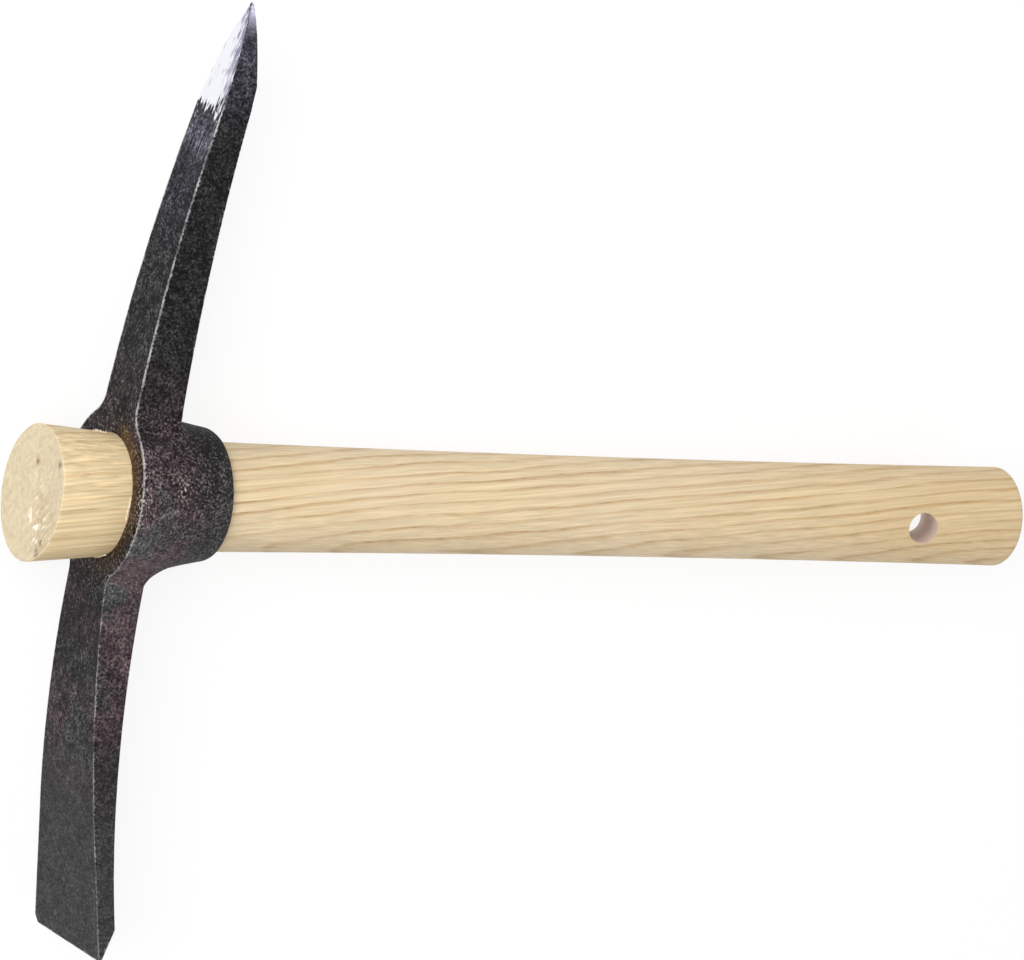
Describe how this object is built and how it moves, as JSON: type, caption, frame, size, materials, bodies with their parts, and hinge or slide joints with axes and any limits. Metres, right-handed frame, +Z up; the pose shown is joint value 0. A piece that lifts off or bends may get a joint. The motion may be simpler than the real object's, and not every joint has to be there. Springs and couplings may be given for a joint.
{
  "type": "hand pick mattock",
  "caption": "Short-handled pick mattock: a forged steel head with a pointed pick arm and an adze blade, jammed on the flared end of a turned ash handle.",
  "frame": {"origin": "middle of the underside of the tool's box, as it lies on its side", "axes": "+X along the handle from its flared end to the grip, +Y towards the pick's point, +Z up"},
  "size_m": [0.382, 0.3166, 0.0576],
  "materials": {
    "ash": "pale ash, sanded, unvarnished",
    "forged_steel": "forged, not brushed: dark forge scale, with a ground point and worn bright edges"
  },
  "bodies": {
    "handle": {"handle": "ash"},
    "head": {"head": "forged_steel"}
  },
  "joints": [
    {"name": "head_slide", "type": "slide", "parent": "handle", "child": "head", "axis": [1, 0, 0], "range_m": [0, 0.36]}
  ]
}
